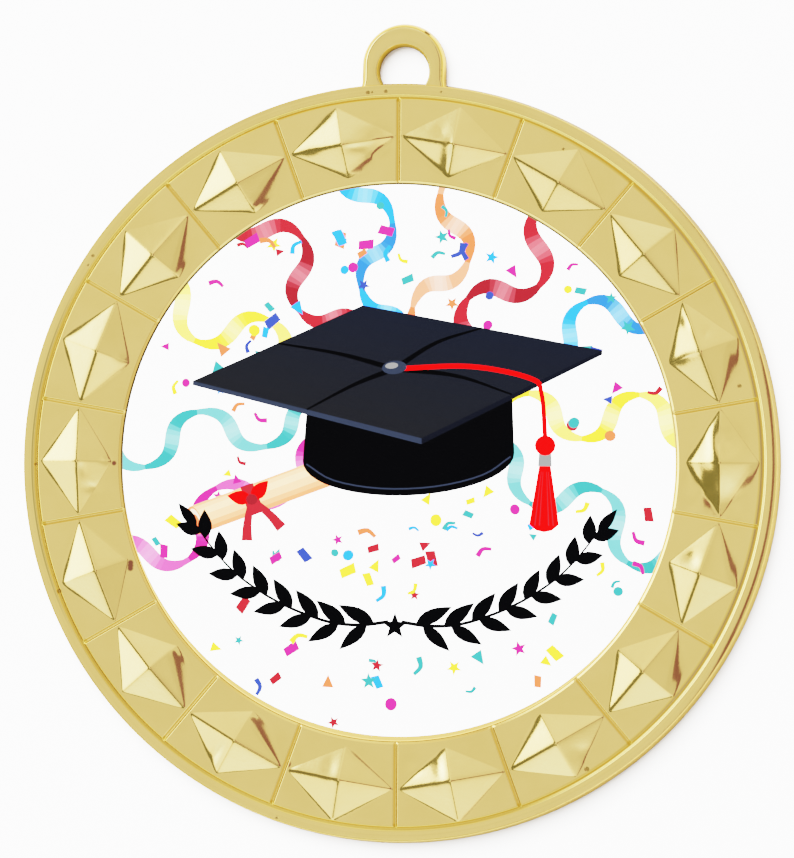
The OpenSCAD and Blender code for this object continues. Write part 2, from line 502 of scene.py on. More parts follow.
# Inks. The light is so bright that the printed shapes are darkened by this factor. The white of the
# sheet and the disc's edge aren't
INK_STRENGTH = 0.62
WHITE = (0.93, 0.93, 0.93)
EDGE_WHITE = (0.6, 0.58, 0.52)
BLACK = (0.0004, 0.0004, 0.0008)
NAVY = (0.0052, 0.0062, 0.0105)
CHARCOAL = (0.0068, 0.007, 0.0085)
EDGE_NAVY = (0.014, 0.018, 0.03)
SILVER = (0.1135, 0.1135, 0.1135)
CREAM = (0.93, 0.5, 0.22)
RED = (0.27, 0.0116, 0.0165)
TASSEL_RED = (0.93, 0.0017, 0.0017)
ORANGE = (0.655, 0.0953, 0.0333)
YELLOW = (0.93, 0.655, 0.0234)
TURQUOISE = (0.0234, 0.1921, 0.1921)
CYAN = (0.0165, 0.1921, 0.93)
MAGENTA = (0.3872, 0.0165, 0.1353)
BLUE = (0.0197, 0.0333, 0.2289)
CONFETTI_INKS = [MAGENTA, TURQUOISE, YELLOW, ORANGE, CYAN, RED, MAGENTA, TURQUOISE, YELLOW, BLUE]

# Edge of the printed disc: by degrees, how far it goes from the gold of the lip to painted shade, the
# shadow of the gap at the recess's wall
EDGE_GOLD = (0.43, 0.25, 0.065)
EDGE_SHADE = (0.04, 0.033, 0.018)
EDGE_SHADE_TONES = [
    (0, 0.8), (50, 0.9), (70, 0.6), (95, 0), (255, 0),
    (270, 0.9), (290, 1), (310, 0.9), (330, 0.8), (360, 0.8),
]
# Where the white of the print stops short of the disc's edge, in degrees, and by how much
BARE_FROM = 128
BARE_TO = 252
BARE_WIDTH = 0.36


def mixed(a, b, t):
    """An ink part of the way from one to another, by equal steps as the eye sees them."""
    return tuple(exp(log(p) * (1 - t) + log(q) * t) for p, q in zip(a, b))


def edge_gold_and_painted_shade(x, y):
    """Colour of the disc's edge in the direction of a point, from the gold of the lip to painted shade.
    """
    dark = np.interp(degrees(atan2(x, y)) % 360, *zip(*EDGE_SHADE_TONES))
    return mixed(EDGE_GOLD, EDGE_SHADE, dark)


def smooth_line(points, steps=8):
    """A smooth curve through a few points."""
    points = [np.array(p, float) for p in points]
    points = [2 * points[0] - points[1]] + points + [2 * points[-1] - points[-2]]
    line = []
    for a, b, c, d in zip(points, points[1:], points[2:], points[3:]):
        for t in np.arange(steps) / steps:
            bent = 2 * b + (c - a) * t + (2 * a - 5 * b + 4 * c - d) * t**2
            line.append(0.5 * (bent + (3 * b - a - 3 * c + d) * t**3))
    return np.array(line + [points[-2]])


def sides_of(line, widths):
    """The two edges of a band along a line."""
    ahead = np.gradient(line, axis=0)
    normal = np.column_stack([-ahead[:, 1], ahead[:, 0]]) / np.hypot(*ahead.T)[:, None]
    offset = normal * (np.asarray(widths) / 2)[:, None]
    return line + offset, line - offset


class Artwork:
    """Printed shapes in drawing order, each an outline in millimetres and an ink."""

    def __init__(self):
        self.shapes = []

    def shape(self, outline, ink, turn=0, middle=(0, 0)):
        """Adds an outline that doesn't cross itself, turned about its origin and moved to a place."""
        outline = turned(outline, turn) + middle
        x, y = outline.T
        if np.dot(x, np.roll(y, -1)) < np.dot(y, np.roll(x, -1)):
            outline = outline[::-1]
        self.shapes.append((outline, ink))

    def band(self, left, right, inks):
        """A run of four-sided pieces between two lines, each with its own ink."""
        for i, ink in enumerate(inks):
            corners = np.array([left[i], left[i + 1], right[i + 1], right[i]])
            turn = np.arctan2(*(corners - corners.mean(axis=0)).T[::-1])
            self.shape(corners[np.argsort(turn)], ink)

    def disc(self, x, y, wide, high, ink, turn=0, sides=16):
        """An ellipse."""
        angles = np.arange(sides) * tau / sides
        flat = np.column_stack([np.cos(angles) * wide, np.sin(angles) * high])
        self.shape(flat, ink, turn, (x, y))

    def star(self, x, y, size, turn, ink):
        angles = turn + np.arange(10) * tau / 10
        reach = np.where(np.arange(10) % 2, 0.42, 1) * size
        self.shape(np.column_stack([np.cos(angles), np.sin(angles)]) * reach[:, None], ink, 0, (x, y))

    def stroke(self, points, start_width, end_width, ink, steps=8):
        """A line whose width goes evenly from start to end."""
        line = smooth_line(points, steps)
        left, right = sides_of(line, np.linspace(start_width, end_width, len(line)))
        self.band(left, right, [ink] * (len(line) - 1))

    def leaf(self, x, y, turn, length, width, ink):
        """A leaf that starts at a point and has its widest place before the middle."""
        t = np.linspace(0, 1, 7)
        half = width / 2 * np.sin(pi * t**0.8)
        left = np.column_stack([t, half / length])
        right = np.column_stack([t, -half / length])[::-1][1:-1]
        self.shape(np.vstack([left, right]) * length, ink, turn, (x, y))

    def streamer(self, start, end, bends, swing, width, inks, phase=0):
        """A paper ribbon that winds from start to end and turns over at the ends of each swing."""
        start, end = np.array(start, float), np.array(end, float)
        t = np.linspace(0, 1, int(bends * 16) + 2)
        turn = pi * bends * t + phase
        run = end - start
        across = np.array([-run[1], run[0]]) / np.hypot(*run)
        line = start + run * t[:, None] + across * (np.sin(turn) * swing * (0.6 + 0.4 * t))[:, None]
        line -= run * (0.11 / bends * np.sin(2 * turn))[:, None]
        left, right = sides_of(line, width * (0.3 + 0.7 * np.abs(np.cos(turn)) ** 0.8))
        facing = np.cos((turn[1:] + turn[:-1]) / 2)
        shine = np.clip((np.abs(facing) - 0.8) / 0.2, 0, 1) * 0.8
        front, back, bright = inks
        runs = [mixed(front if f > 0 else back, bright, s) for f, s in zip(facing, shine)]
        self.band(left, right, runs)


# Paper ribbons that fan out from behind the cap. A paper has an ink for the front, the back and the
# shine. A streamer has the end of its run, bends, swing, width, paper and phase
RED_PAPER = (RED, mixed(RED, BLACK, 0.08), mixed(RED, WHITE, 0.55))
ORANGE_PAPER = (ORANGE, mixed(ORANGE, WHITE, 0.3), mixed(ORANGE, WHITE, 0.7))
YELLOW_PAPER = (YELLOW, mixed(YELLOW, WHITE, 0.3), mixed(YELLOW, WHITE, 0.65))
TURQUOISE_PAPER = (TURQUOISE, mixed(TURQUOISE, WHITE, 0.3), mixed(TURQUOISE, WHITE, 0.6))
MAGENTA_PAPER = (MAGENTA, mixed(MAGENTA, WHITE, 0.3), mixed(MAGENTA, WHITE, 0.6))
CYAN_PAPER = (CYAN, mixed(CYAN, BLUE, 0.4), mixed(CYAN, WHITE, 0.6))
STREAMERS = [
    ((-27, 1), 5, 2.4, 1.4, TURQUOISE_PAPER, 0.4),
    ((-23.5, 15.5), 5, 2.6, 1.5, YELLOW_PAPER, 2.2),
    ((-14.5, 23.5), 4.6, 2.5, 1.5, RED_PAPER, 0),
    ((-4, 27.5), 4.2, 2.3, 1.4, CYAN_PAPER, 1.2),
    ((6.5, 27), 4.2, 2.3, 1.5, ORANGE_PAPER, 2.6),
    ((15.5, 23), 4.6, 2.5, 1.6, RED_PAPER, 0.8),
    ((23, 15), 5, 2.4, 1.4, CYAN_PAPER, 2),
    ((27, 4), 5.2, 2.4, 1.5, YELLOW_PAPER, 0.9),
    ((25.5, -8.5), 5.4, 2.5, 1.4, TURQUOISE_PAPER, 2.4),
    ((-25, -10), 5.4, 2.5, 1.4, MAGENTA_PAPER, 0.2),
]
STREAMER_START = (0.5, 5)

# Cap: left, far, near and right corner of its board, and the round part below it
BOARD = np.array([(-19, 7.2), (-3.4, 14.3), (2.2, 2.2), (18.6, 10.4)])
SKULL_MIDDLE = 1
SKULL_HALF = 9.7
SKULL_DIP = 3.1
BOARD_STRIPES = 10
# Seams from the middle of the board: where each ends on it, and how it bows
SEAMS = [
    ((0, 0.5), (0.3, 0.4)), ((1, 0.5), (-0.2, 0.5)),
    ((0.5, 0), (0.3, 0.2)), ((0.5, 1), (0.4, 0.5)),
]
# The tassel's fringe from its knot down, the places of its folds, and its band
FRINGE = [
    (-0.5, -1.7), (0.5, -1.7), (1.35, -7.2), (0.7, -7.75), (0, -7.9), (-0.7, -7.75), (-1.35, -7.2),
]
FRINGE_FOLDS = (-2, -1, 1, 2)
TASSEL_BAND = [(-0.55, -0.6), (0.55, -0.6), (0.62, -1.9), (-0.62, -1.9)]

CONFETTI_COUNT = 200
CONFETTI_SEED = 11
CONFETTI_REACH = 24.6
# Laurel branches below the cap: the right-hand stem, from the middle outwards
STEM = [(0.6, -14.6), (5, -14.9), (10.5, -13.1), (15.2, -10), (18.4, -6.2)]
LEAF_PAIRS = 8
# Strips of the diploma: lower edge, upper edge and shade. Corners of its tie, along and up
DIPLOMA_STRIPS = [
    (-1.35, -0.95, 0.62), (-0.95, -0.5, 0.4), (-0.5, 0.2, 0.15),
    (0.2, 0.8, 0), (0.8, 1.15, 0.12), (1.15, 1.35, 0.35),
]
TIE = [(-0.75, -1.42), (0.75, -1.42), (0.6, 1.42), (-0.6, 1.42)]


def board_point(u, v):
    """A point of the cap's board: u goes from its left to its far corner, v from left to near."""
    left, far, near, right = BOARD
    return (1 - u) * (1 - v) * left + u * (1 - v) * far + (1 - u) * v * near + u * v * right


def add_confetti(art):
    rng = np.random.default_rng(CONFETTI_SEED)
    for i in range(CONFETTI_COUNT):
        reach = CONFETTI_REACH * sqrt(rng.random())
        angle, turn = tau * rng.random(2)
        size = rng.uniform(0.42, 0.78)
        x, y = polar(reach, angle)
        ink = CONFETTI_INKS[i % len(CONFETTI_INKS)]
        under_cap = abs(x) < 11 and -2.5 < y < 11
        by_laurel = abs(hypot(x, y + 15 - 0.032 * x * x)) < 3 or -17.5 < y - 0.028 * x * x < -12.5
        if under_cap or by_laurel:
            continue
        kind = i % 7
        if kind in (0, 4):
            wide = size * 0.62
            piece = [(-size, -wide), (size, -wide * 0.8), (size * 1.1, wide), (-size * 0.8, wide)]
            art.shape(piece, ink, turn, (x, y))
        elif kind == 1:
            art.disc(x, y, size * 0.8, size * 0.75, ink, turn, 12)
        elif kind == 2:
            piece = [(-size, -size * 0.7), (size * 0.9, -size * 0.5), (0.1 * size, size * 0.9)]
            art.shape(piece, ink, turn, (x, y))
        elif kind in (3, 5):
            bow = turned([(-size * 1.1, 0), (0, size * 0.55), (size * 1.1, 0)], turn) + (x, y)
            art.stroke(bow, size * 0.75, size * 0.45, ink, 3)
        else:
            art.star(x, y, size * 1.05, turn, ink)


def add_diploma(art):
    """A rolled sheet tied with a red ribbon, behind the cap on its left."""
    a, b = np.array([-18.6, -5.6]), np.array([-5.5, -0.6])
    along = (b - a) / np.hypot(*(b - a))
    up = np.array([-along[1], along[0]])
    for low, high, shade in DIPLOMA_STRIPS:
        strip = [a + up * low, b + up * low, b + up * high, a + up * high]
        art.shape(strip, mixed(CREAM, ORANGE, shade))
    tilt = atan2(along[1], along[0])
    art.disc(*a, 0.62, 1.36, mixed(CREAM, ORANGE, 0.7), tilt)
    art.disc(*(a + along * 0.08), 0.45, 1.1, mixed(CREAM, WHITE, 0.5), tilt)
    art.disc(*(a + along * 0.12 - up * 0.1), 0.26, 0.66, mixed(CREAM, ORANGE, 0.9), tilt)
    knot = a + along * 5.6
    art.shape([knot + along * u + up * v for u, v in TIE], RED)
    for side in (-1, 1):
        tail = [knot, knot + along * side * 1.1 - up * 1.9, knot + along * side * 1.7 - up * 3.4]
        art.stroke(tail, 0.55, 1, RED, 5)
        art.leaf(*knot, tilt + (0.5 if side > 0 else pi - 0.5), 2.3, 1.3, TASSEL_RED)
    art.disc(*knot, 0.55, 0.5, mixed(RED, BLACK, 0.1), 0, 12)


def add_cap(art):
    sweep = np.linspace(pi, tau, 25)
    brim = np.column_stack([
        SKULL_MIDDLE + SKULL_HALF * np.cos(sweep),
        0.45 + 0.05 * SKULL_HALF * np.cos(sweep) + (SKULL_DIP + 0.4) * np.sin(sweep),
    ])
    crown_left, crown_right = (-8.3, 6.6), (10.4, 7.4)
    art.shape(np.vstack([[crown_left], brim, [crown_right]]), BLACK)
    art.stroke(brim[2:-2:4] + (0, 0.62), 0.16, 0.16, EDGE_NAVY, 4)
    left, _, near, right = BOARD
    drop = np.array([0, -0.55])
    art.shape([left, near, near + drop, left + drop * 0.7], EDGE_NAVY)
    art.shape([near, right, right + drop * 0.7, near + drop], mixed(EDGE_NAVY, BLACK, 0.4))
    for i in range(BOARD_STRIPES):
        u0, u1 = i / BOARD_STRIPES, (i + 1) / BOARD_STRIPES
        ink = mixed(CHARCOAL, NAVY, (u0 + u1) / 2)
        art.shape([board_point(u0, 0), board_point(u1, 0), board_point(u1, 1), board_point(u0, 1)], ink)
    middle = board_point(0.5, 0.5)
    for end, bow in SEAMS:
        target = board_point(*end)
        art.stroke([middle, (middle + target) / 2 + bow, target], 0.5, 0.14, BLACK)


def add_tassel(art):
    """A cord over the right-hand edge of the board, a knot, a band, the fringe and the cap's button."""
    middle, over = board_point(0.5, 0.5), board_point(0.62, 1)
    cord = [middle, (middle + over) / 2 + (0.6, 0.9)]
    cord += [over + step for step in ((-0.3, 0.5), (0.75, -0.9), (1.15, -5))]
    art.stroke(cord, 0.42, 0.42, TASSEL_RED)
    x, y = over + (1.15, -5.6)
    art.shape(FRINGE, TASSEL_RED, 0, (x, y))
    for i in FRINGE_FOLDS:
        fold = [(x + i * 0.16, y - 2.4), (x + i * 0.3, y - 5), (x + i * 0.42, y - 7.3)]
        art.stroke(fold, 0.05, 0.12, RED, 2)
    art.shape(TASSEL_BAND, SILVER, 0, (x, y))
    art.disc(x, y, 0.95, 0.92, TASSEL_RED)
    art.disc(*(middle + (0, 0.12)), 1.15, 0.62, EDGE_NAVY, 0.1, 20)
    art.disc(*(middle + (-0.25, 0.28)), 0.6, 0.28, SILVER, 0.1)


def add_laurel(art):
    curve = smooth_line(STEM, 12)
    gone = np.concatenate([[0], np.cumsum(np.hypot(*np.diff(curve, axis=0).T))])
    even = np.linspace(0, gone[-1], 4 * LEAF_PAIRS + 1)
    stem = np.column_stack([np.interp(even, gone, curve[:, k]) for k in (0, 1)])
    for side in (1, -1):
        line = stem * (side, 1)
        art.stroke(line[::4], 0.34, 0.14, BLACK, 4)
        ahead = np.gradient(line, axis=0)
        for i in range(LEAF_PAIRS):
            k = 2 + 4 * i
            heading = atan2(ahead[k][1], ahead[k][0])
            length = 3.7 - 0.15 * i
            art.leaf(*line[k], heading + side * 0.6, length, 1.3, BLACK)
            art.leaf(*line[k + 1], heading - side * 0.6, length * 0.94, 1.2, BLACK)
        art.leaf(*line[-1], atan2(ahead[-1][1], ahead[-1][0]), 2.8, 1, BLACK)
    art.star(0, -15, 1.25, pi / 2, BLACK)


def add_bare_edge(art):
    """The crescent along the lower edge of the disc that the white of the print leaves bare."""
    t = np.linspace(0, 1, 49)
    turn = np.radians(BARE_FROM + (BARE_TO - BARE_FROM) * t)
    away = np.column_stack([np.sin(turn), np.cos(turn)])
    inner = INSERT_R - INSERT_BEVEL - BARE_WIDTH * np.sin(pi * t)
    art.shape(np.vstack([away * inner[:, None], (away * (INSERT_R + 1))[::-1]]), EDGE_GOLD)


def printed_shapes():
    art = Artwork()
    for end, bends, swing, width, inks, phase in STREAMERS:
        art.streamer(STREAMER_START, end, bends, swing, width, inks, phase)
    add_confetti(art)
    add_diploma(art)
    add_cap(art)
    add_tassel(art)
    add_laurel(art)
    add_bare_edge(art)
    return art.shapes


def printed_sheet():
    """The disc's face in flat pieces that follow the printed shapes: points, faces and their inks."""
    shapes = printed_shapes()
    face_r = INSERT_R - INSERT_BEVEL
    turns = np.arange(INSERT_SIDES) * tau / INSERT_SIDES
    points = [Vector((face_r * cos(a), face_r * sin(a))) for a in turns]
    outlines = [list(range(INSERT_SIDES))]
    for outline, _ in shapes:
        outlines.append(list(range(len(points), len(points) + len(outline))))
        points += [Vector(p) for p in outline]
    flat, _, pieces, _, _, sources = delaunay_2d_cdt(points, [], outlines, 1, 0.00001)
    # A piece belongs to the sheet, outline 0, and shows the last of the shapes that it lies in
    kept = [(list(piece), max(source)) for piece, source in zip(pieces, sources) if 0 in source]
    faces = [piece for piece, _ in kept]
    inks = [tuple(c * INK_STRENGTH for c in shapes[top - 1][1]) if top else WHITE for _, top in kept]
    return flat, faces, inks


def insert_mesh():
    """The printed disc as one closed solid, with the artwork as faces and their colours as inks."""
    flat, faces, inks = printed_sheet()
    # The border of the sheet goes on as the bevel, the edge and the back
    edges = Counter(tuple(sorted(pair)) for face in faces for pair in zip(face, face[1:] + face[:1]))
    border = {v for edge, count in edges.items() if count == 1 for v in edge}
    border = sorted(border, key=lambda v: atan2(flat[v][1], flat[v][0]))
    vertices = [(p[0], p[1], INSERT_TOP) for p in flat]
    ring = border
    for r, z in INSERT_EDGE:
        start = len(vertices)
        for v in border:
            size = r / hypot(flat[v][0], flat[v][1])
            vertices.append((flat[v][0] * size, flat[v][1] * size, z))
        below = list(range(start, start + len(border)))
        for i in range(len(border)):
            k = (i + 1) % len(border)
            faces.append([ring[i], below[i], below[k], ring[k]])
            # Edge faces take the gold of the lip on the lower side and painted shade on the upper side
            inks.append(edge_gold_and_painted_shade(*flat[border[i]]))
        ring = below
    vertices.append((0, 0, INSERT_BOTTOM))
    for i in range(len(ring)):
        faces.append([ring[i], len(vertices) - 1, ring[(i + 1) % len(ring)]])
    inks += [EDGE_WHITE] * (len(faces) - len(inks))
    used = sorted({v for face in faces for v in face})
    place = {v: i for i, v in enumerate(used)}
    mesh = bpy.data.meshes.new("printed_disc")
    points = [tuple(c * MM for c in vertices[v]) for v in used]
    mesh.from_pydata(points, [], [[place[v] for v in face] for face in faces])
    colours = mesh.color_attributes.new("ink", "FLOAT_COLOR", "CORNER")
    corner_inks = [(*ink, 1) for face, ink in zip(faces, inks) for _ in face]
    colours.data.foreach_set("color", np.array(corner_inks, np.float32).ravel())
    return placed("printed_disc", mesh)


# Node helpers


class Tree:
    """Short calls for building a node tree."""

    def __init__(self, tree):
        self.tree = tree
        tree.nodes.clear()

    def add(self, kind, inputs=None, **settings):
        node = self.tree.nodes.new("ShaderNode" + kind)
        for key, value in settings.items():
            setattr(node, key, value)
        for key, value in (inputs or {}).items():
            self.feed(node.inputs[key], value)
        return node

    def feed(self, socket, value):
        if isinstance(value, bpy.types.Node):
            value = value.outputs[0]
        if isinstance(value, bpy.types.NodeSocket):
            self.tree.links.new(value, socket)
        elif socket.type == "RGBA" and len(value) == 3:
            socket.default_value = (*value, 1)
        else:
            socket.default_value = value

    def math(self, operation, a, b=0):
        return self.add("Math", {0: a, 1: b}, operation=operation)

    def times(self, a, b):
        return self.math("MULTIPLY", a, b)

    def apart(self, a, b):
        """How far two numbers are apart."""
        return self.math("ABSOLUTE", self.math("SUBTRACT", a, b))

    def vector(self, operation, a, b=(0, 0, 0)):
        """A vector sum whose result is a number."""
        return self.add("VectorMath", {0: a, 1: b}, operation=operation).outputs["Value"]

    def scaled(self, a, factor):
        return self.add("VectorMath", {0: a, "Scale": factor}, operation="SCALE")

    def noise(self, place, scale, detail, roughness=0.5):
        inputs = {"Vector": place, "Scale": scale, "Detail": detail, "Roughness": roughness}
        return self.add("TexNoise", inputs)

    def bump(self, height, strength, depth, over=None):
        """Bump as deep as depth, in millimetres, over another bump."""
        inputs = {"Height": height, "Strength": strength, "Distance": depth * MM}
        if over:
            inputs["Normal"] = over
        return self.add("Bump", inputs)

    def steps(self, value, low, high, to_low=0, to_high=1):
        """Goes smoothly from to_low to to_high as value goes from low to high."""
        inputs = {0: value, 1: low, 2: high, 3: to_low, 4: to_high}
        return self.add("MapRange", inputs, interpolation_type="SMOOTHSTEP")

    def within(self, distance, near, far):
        """Goes from 1 to 0 as a distance in metres goes from near to far, in millimetres."""
        return self.steps(distance, near * MM, far * MM, 1, 0)

    def mix(self, factor, a, b):
        return self.add("Mix", {0: factor, 6: a, 7: b}, data_type="RGBA").outputs[2]

    def ramp(self, turn, stops):
        """A colour ramp round a full turn, from pairs of degrees and a colour."""
        node = self.add("ValToRGB", {0: turn})
        elements = node.color_ramp.elements
        for place, _ in stops[1:-1]:
            elements.new(place / 360)
        for element, (_, colour) in zip(elements, stops):
            element.color = (*colour, 1)
        return node


def grey(level):
    return (level, level, level)


# Studio: reflections come from the sky, which is laid out by direction from straight above the medal

# Light level by the direction that a facet faces, in degrees: for the outer half of the ring, where
# facets look further from the zenith, and for the inner half
OUTER_LIGHT = [
    (0, 1.5), (18, 1.54), (24, 1.43), (37, 1.04), (50, 1.09), (77, 1.09), (97, 0.88), (116, 0.95),
    (123, 1.34), (137, 1.89), (163, 1.89), (180, 2.1), (203, 2.17), (220, 2.32), (237, 1.76),
    (243, 1.65), (257, 3.28), (277, 4.33), (297, 5.7), (317, 4.33), (325, 3.7), (337, 0.83),
    (343, 1.17), (360, 1.5),
]
INNER_LIGHT = [
    (0, 1.28), (17, 1.25), (23, 1.09), (37, 1.03), (57, 0.95), (83, 0.83), (117, 0.83), (123, 1.05),
    (143, 1.54), (163, 1.6), (183, 1.6), (203, 1.5), (217, 1.54), (235, 1.9), (257, 2), (263, 2.86),
    (283, 3.06), (297, 3.28), (317, 2.49), (326, 1.25), (337, 0.88), (343, 1.34), (360, 1.28),
]
BROWN = (0.27, 0.165, 0.28)
OLIVE = (0.2, 0.235, 0.21)
HORIZON = (1, 0.88, 0.6)
NEAR_LIGHT = [
    (0, grey(1)), (36, grey(1)), (50, BROWN), (132, BROWN),
    (148, grey(1.2)), (200, grey(1.2)), (230, grey(0.95)), (360, grey(1)),
]
# How far from the zenith the facets' light starts, as the tangent of the angle
FACET_START = [(0, 0.56), (30, 0.53), (146, 0.53), (160, 0.78), (322, 0.78), (335, 0.56), (360, 0.56)]
# Other borders in the sky, as tangents too: of the olive gap before that start, the light over the flat
# parts, the outer facets' light and the horizon
GAP_START = 0.36
ZENITH_END = (0.22, 0.27)
OUTER_FROM = (0.8, 1.15)
HORIZON_FROM = (1.6, 2.4)
SKY_BLUR = 0.03
ZENITH_LIGHT = 0.97
# What the camera sees beyond the floor
BACKDROP_LIGHT = 7.2
SKY_UNEVEN = 0.08
SOFT_LIGHT_AT = (-0.25, 0.35, 0.9)
SOFT_LIGHT_SIZE = 0.7
SOFT_LIGHT_WATTS = 64


def cool(level):
    """Colour of a light level: the brighter, the cooler."""
    t = min(max((level - 1.1) / 0.7, 0), 1)
    return tuple(level * (1 + t * tint) for tint in (-0.1, 0.08, 0.24))


def build_sky():
    world = bpy.data.worlds.new("studio")
    bpy.context.scene.world = world
    world.use_nodes = True
    tree = Tree(world.node_tree)
    direction = tree.add("TexCoord").outputs["Generated"]
    # The pole of the sky is where the flat parts of the face reflect the camera's view to
    lean = {"Vector": direction, "Rotation": (CAMERA_BELOW, CAMERA_SIDE, 0)}
    leaning = tree.add("Mapping", lean)
    x, y, z = tree.add("SeparateXYZ", {0: leaning}).outputs
    level = tree.math("MAXIMUM", z, 0.02)
    across = tree.math("DIVIDE", x, level)
    along = tree.math("DIVIDE", y, level)
    spread = tree.vector("LENGTH", tree.add("CombineXYZ", {0: across, 1: along}))
    turn = tree.math("FRACT", tree.math("DIVIDE", tree.math("ARCTAN2", x, y), tau))
    near = tree.ramp(turn, NEAR_LIGHT)
    inner = tree.ramp(turn, [(a, grey(v)) for a, v in INNER_LIGHT])
    outer = tree.ramp(turn, [(a, cool(v)) for a, v in OUTER_LIGHT])
    start = tree.ramp(turn, [(a, grey(v)) for a, v in FACET_START])
    facets = tree.mix(tree.steps(spread, *OUTER_FROM), inner, outer)
    colour = tree.mix(tree.steps(spread, *ZENITH_END), grey(ZENITH_LIGHT), near)
    in_gap = tree.steps(spread, GAP_START - SKY_BLUR, GAP_START + SKY_BLUR)
    in_gap = tree.times(in_gap, tree.steps(start, 0.6, 0.7))
    colour = tree.mix(in_gap, colour, OLIVE)
    past = tree.math("SUBTRACT", spread, start)
    colour = tree.mix(tree.steps(past, -SKY_BLUR, SKY_BLUR), colour, facets)
    colour = tree.mix(tree.steps(spread, *HORIZON_FROM), colour, HORIZON)
    # A studio's light is never quite even
    uneven = tree.steps(tree.noise(direction, 7, 2), 0.3, 0.7, 1 - SKY_UNEVEN, 1 + SKY_UNEVEN)
    colour = tree.scaled(colour, uneven)
    seen = tree.add("LightPath").outputs["Is Camera Ray"]
    colour = tree.mix(seen, colour, grey(BACKDROP_LIGHT))
    sky = tree.add("Background", {0: colour, 1: 1})
    tree.add("OutputWorld", {0: sky})


def add_soft_light():
    """A square soft light that points at the medal and shows in no reflection."""
    lamp = bpy.data.lights.new("soft_top", "AREA")
    lamp.size = SOFT_LIGHT_SIZE
    lamp.energy = SOFT_LIGHT_WATTS
    item = placed("soft_top", lamp)
    item.location = SOFT_LIGHT_AT
    item.rotation_mode = "QUATERNION"
    item.rotation_quaternion = Vector(SOFT_LIGHT_AT).to_track_quat("Z", "Y")
    item.visible_glossy = False
    item.visible_camera = False


# Camera


def place_camera():
    """The photo's view: a little from the right and from below, and turned by a degree."""
    side, below, roll = CAMERA_SIDE, CAMERA_BELOW, CAMERA_ROLL
    towards = Vector((sin(side) * cos(below), -sin(below), cos(side) * cos(below)))
    right = Vector((0, 1, 0)).cross(towards).normalized()
    up = towards.cross(right)
    right, up = right * cos(roll) + up * sin(roll), up * cos(roll) - right * sin(roll)
    centre = Vector((0, 0, FLOOR_Z * MM))
    place = centre + towards * CAMERA_DISTANCE
    aim = centre + up * CAMERA_RAISED
    back = (place - aim).normalized()
    right = up.cross(back).normalized()
    up = back.cross(right)
    lens = bpy.data.cameras.new("camera")
    lens.sensor_width = 36
    lens.lens = CAMERA_LENS
    lens.clip_start = 0.01
    item = placed("camera", lens)
    turn = Matrix((right, up, back)).transposed().to_4x4()
    item.matrix_world = Matrix.Translation(place) @ turn
    bpy.context.scene.camera = item


# Materials


def new_material(name, surface):
    """A material whose shader comes from a function of its tree and of the place on the object."""
    material = bpy.data.materials.new(name)
    material.use_nodes = True
    tree = Tree(material.node_tree)
    shader = surface(tree, tree.add("TexCoord").outputs["Object"])
    tree.add("OutputMaterial", {0: shader})
    return material


# Small pits in the casting: degrees, radius, height and size
PITS = [
    (354.6, 33.95, 2.6, 0.16), (355.3, 33.95, 2.6, 0.12), (357.4, 33.95, 2.6, 0.15),
    (6, 34.06, 2.6, 0.11), (27.3, 32.3, 2.6, 0.13), (76.8, 31.94, 2.6, 0.17),
    (140.4, 30.31, 3, 0.13), (147.3, 32.85, 2.6, 0.2), (197.9, 34.3, 2.6, 0.13),
    (303.2, 34, 2.6, 0.14), (301.6, 33.9, 2.6, 0.11), (268.9, 33.44, 2.5, 0.14),
    (248.4, 33.42, 2.5, 0.2), (5.6, 36.11, 2.2, 0.09), (5.7, 35.57, 2.2, 0.09),
]
# Brown stains at the feet of two facets, and a dark flaw in the edge of the loop
STAINS = [
    (248.6, 26.27, 2.6, 0.27), (248.1, 26.37, 2.6, 0.29),
    (247.6, 26.47, 2.6, 0.27), (269, 26.16, 2.6, 0.22),
]
FLAWS = [(3, 39.47, 1.95, 0.22), (3.3, 39.37, 1.95, 0.2)]
PIT_BROWN = (0.3, 0.17, 0.05)
STAIN_BROWN = (0.25, 0.1, 0.06)
FLAW_BROWN = (0.09, 0.055, 0.02)


def add_spots(tree, place, spots):
    """Where the small spots of a list are, from 0 to 1."""
    found = 0
    for turn, radius, height, size in spots:
        middle = (*polar(radius * MM, radians(turn)), height * MM)
        off = tree.vector("DISTANCE", place, middle)
        found = tree.math("MAXIMUM", found, tree.within(off, 0.6 * size, 1.3 * size))
    return found


# Plating on the flat parts and facets, from its darker to its lighter clouds
DARK_GOLD = (0.95, 0.627, 0.195)
LIGHT_GOLD = (0.99, 0.657, 0.21)
# Gold painted deeper in the radial grooves as painted shade, and darker on those of their walls that
# face the brightest light, a painted shade that tones down their reflection
GROOVE_PAINTED_SHADE = (0.76, 0.45, 0.125)
WALL_PAINTED_SHADE = (0.44, 0.24, 0.056)
BRIGHT_SIDE = (-0.94, 0.34, 0)
# Gold painted along the edges and deeper in the bottom of the ring groove, as painted shade; on the
# right-hand side the painted shade is duller and its darkest line lies further in
RING_EDGE_PAINTED_SHADE = (0.88, 0.55, 0.14)
RING_PAINTED_SHADE = (0.66, 0.38, 0.085)
RIGHT_RING_PAINTED_SHADE = (0.52, 0.34, 0.13)
RIGHT_SHADE_SHIFT = -0.22
# Painted shade line between the ring groove and the rim's band on the left-hand side, and its distance
PAINTED_SHADE_LINE = (0.46, 0.34, 0.11)
SHADE_LINE_AT = 0.38
# Gold painted darker in the corners where the radial grooves end, as painted shade, and how far those
# are from the ring groove
CORNER_PAINTED_SHADE = (0.6, 0.33, 0.06)
CORNER_AT = 0.24
# Gold painted deeper on the lip of the recess as painted shade, and how far its edge is blurred
LIP_PAINTED_SHADE = (0.92, 0.54, 0.145)
LIP_BLUR = 0.03
# How much rougher the plating is in the grooves
GROOVE_DULL = 0.03


